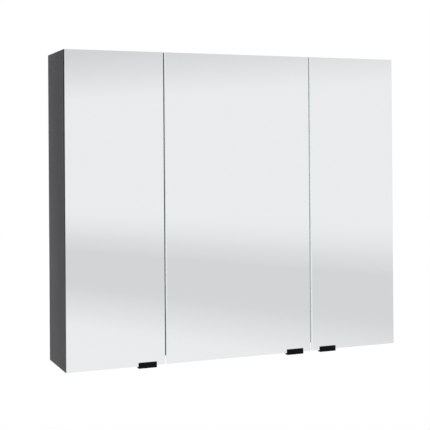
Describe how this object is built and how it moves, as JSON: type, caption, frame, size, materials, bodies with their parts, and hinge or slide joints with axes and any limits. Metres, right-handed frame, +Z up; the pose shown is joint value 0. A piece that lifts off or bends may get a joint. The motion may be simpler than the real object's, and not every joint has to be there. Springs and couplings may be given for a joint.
{
  "type": "medicine cabinet with mirror",
  "caption": "Wall-hung three-door bathroom mirror cabinet: anthracite boards, frameless mirror doors on linked concealed hinges, small black pulls, glass shelves.",
  "frame": {"origin": "centre of the cabinet's back face, on the wall plane, half-way up the boards", "axes": "+X to the right as seen from the room, -Y out of the wall towards the room, +Z up"},
  "size_m": [0.8, 0.1519, 0.6845],
  "materials": {
    "anthracite_board": "matt anthracite melamine-faced board",
    "back_board": "thin anthracite-faced fibreboard",
    "mirror_glass": "silvered float glass with polished edges",
    "shelf_glass": "clear toughened glass with polished edges",
    "handle_black": "matt black powder coat",
    "hinge_nickel": "nickel-plated steel",
    "zinc_steel": "zinc-plated steel"
  },
  "bodies": {
    "cabinet": {"side_panel_left": "anthracite_board", "side_panel_right": "anthracite_board", "partition_left": "anthracite_board", "partition_right": "anthracite_board", "top_panel": "anthracite_board", "bottom_panel": "anthracite_board", "back_panel": "back_board", "shelf_left_lower": "shelf_glass", "hinge_plate_left_lower": "hinge_nickel", "hinge_arm_left_lower": "hinge_nickel", "shelf_left_upper": "shelf_glass", "hinge_plate_left_upper": "hinge_nickel", "hinge_arm_left_upper": "hinge_nickel", "shelf_middle_lower": "shelf_glass", "hinge_plate_middle_lower": "hinge_nickel", "hinge_arm_middle_lower": "hinge_nickel", "shelf_middle_upper": "shelf_glass", "hinge_plate_middle_upper": "hinge_nickel", "hinge_arm_middle_upper": "hinge_nickel", "shelf_right_lower": "shelf_glass", "hinge_plate_right_lower": "hinge_nickel", "hinge_arm_right_lower": "hinge_nickel", "shelf_right_upper": "shelf_glass", "hinge_plate_right_upper": "hinge_nickel", "hinge_arm_right_upper": "hinge_nickel", "hanger_left": "zinc_steel", "wall_plate_left": "zinc_steel", "hanger_right": "zinc_steel", "wall_plate_right": "zinc_steel"},
    "left_links": {"hinge_link_left_lower": "hinge_nickel", "hinge_link_left_upper": "hinge_nickel"},
    "left_door": {"mirror_front_left": "mirror_glass", "mirror_rear_left": "mirror_glass", "handle_left": "handle_black", "hinge_pad_left_lower": "hinge_nickel", "hinge_pad_left_upper": "hinge_nickel"},
    "middle_links": {"hinge_link_middle_lower": "hinge_nickel", "hinge_link_middle_upper": "hinge_nickel"},
    "middle_door": {"mirror_front_middle": "mirror_glass", "mirror_rear_middle": "mirror_glass", "handle_middle": "handle_black", "hinge_pad_middle_lower": "hinge_nickel", "hinge_pad_middle_upper": "hinge_nickel"},
    "right_links": {"hinge_link_right_lower": "hinge_nickel", "hinge_link_right_upper": "hinge_nickel"},
    "right_door": {"mirror_front_right": "mirror_glass", "mirror_rear_right": "mirror_glass", "handle_right": "handle_black", "hinge_pad_right_lower": "hinge_nickel", "hinge_pad_right_upper": "hinge_nickel"}
  },
  "joints": [
    {"name": "left_link_swing", "type": "hinge", "parent": "cabinet", "child": "left_links", "pos_m": [-0.354, -0.137, 0], "axis": [0, 0, -1], "range_deg": [-84, 0]},
    {"name": "left_door_swing", "type": "hinge", "parent": "left_links", "child": "left_door", "pos_m": [-0.3805, -0.1365, 0], "axis": [0, 0, -1], "range_deg": [0, 189]},
    {"name": "middle_link_swing", "type": "hinge", "parent": "cabinet", "child": "middle_links", "pos_m": [-0.12975, -0.137, 0], "axis": [0, 0, -1], "range_deg": [-84, 0]},
    {"name": "middle_door_swing", "type": "hinge", "parent": "middle_links", "child": "middle_door", "pos_m": [-0.15625, -0.1365, 0], "axis": [0, 0, -1], "range_deg": [0, 189]},
    {"name": "right_link_swing", "type": "hinge", "parent": "cabinet", "child": "right_links", "pos_m": [0.354, -0.137, 0], "axis": [0, 0, 1], "range_deg": [-84, 0]},
    {"name": "right_door_swing", "type": "hinge", "parent": "right_links", "child": "right_door", "pos_m": [0.3805, -0.1365, 0], "axis": [0, 0, 1], "range_deg": [0, 189]}
  ],
  "couplings": [
    {"joint": "left_link_swing", "follows": "left_door_swing", "ratio": -0.44444},
    {"joint": "middle_link_swing", "follows": "middle_door_swing", "ratio": -0.44444},
    {"joint": "right_link_swing", "follows": "right_door_swing", "ratio": -0.44444}
  ]
}
